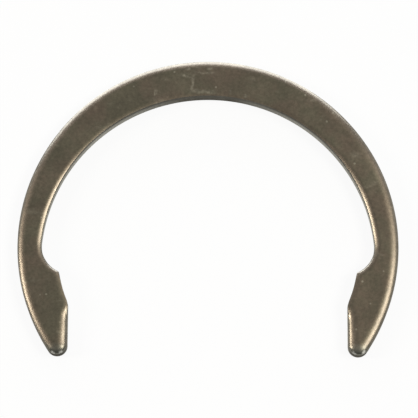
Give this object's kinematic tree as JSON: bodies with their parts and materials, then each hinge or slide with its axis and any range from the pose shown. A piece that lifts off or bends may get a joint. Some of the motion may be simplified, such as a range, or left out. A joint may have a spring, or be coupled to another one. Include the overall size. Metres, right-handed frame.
{
  "type": "spring retaining ring",
  "caption": "Open C-shaped spring ring with a tapering band and inward lugs at its mouth; pushed sideways into a shaft groove, it stops a part sliding along the shaft.",
  "frame": {"origin": "on the shaft's axis, which is the centre of the outer rim, in the plane of the lower flat face", "axes": "+Z along the shaft's axis and square to the flat faces, +Y from the axis to the middle of the back of the band, away from the mouth, +X across the mouth"},
  "size_m": [0.03, 0.0237, 0.0015],
  "materials": {
    "spring_steel": "phosphated and oiled spring steel, dull olive brown with a soft sheen on the rolled edges"
  },
  "bodies": {
    "root": {"retaining_ring": "spring_steel"}
  },
  "joints": []
}
